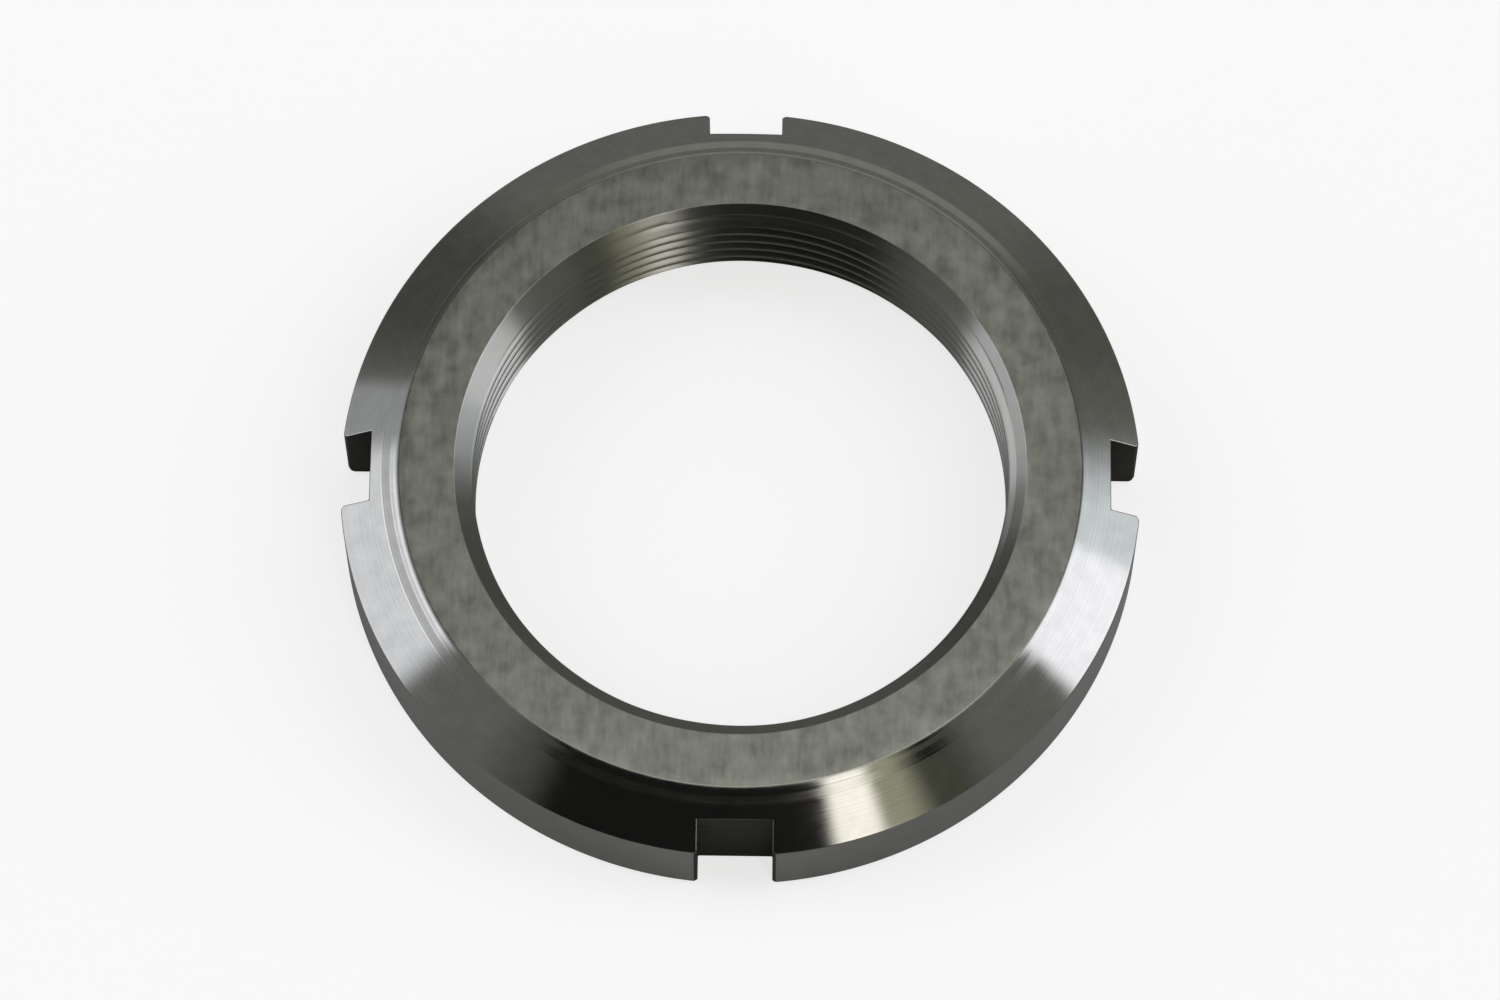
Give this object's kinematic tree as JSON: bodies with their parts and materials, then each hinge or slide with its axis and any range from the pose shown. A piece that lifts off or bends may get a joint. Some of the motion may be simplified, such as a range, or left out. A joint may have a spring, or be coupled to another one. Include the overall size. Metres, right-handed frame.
{
  "type": "lock nut",
  "caption": "Round slotted lock nut for a fine shaft thread: a flat ring with a raised locating face, a wide outer chamfer and square spanner slots in the rim.",
  "frame": {"origin": "on the nut's axis, at the middle of the back face that it lies on", "axes": "+Z along the nut's axis, from the back face to the raised locating face; +X and +Y through the middles of two neighbouring slots"},
  "size_m": [0.0646, 0.0646, 0.01],
  "materials": {
    "turned_steel": "bare carbon steel, ground on the locating face and fine turned on the chamfer, rim and bore"
  },
  "bodies": {
    "root": {"lock_nut": "turned_steel"}
  },
  "joints": []
}
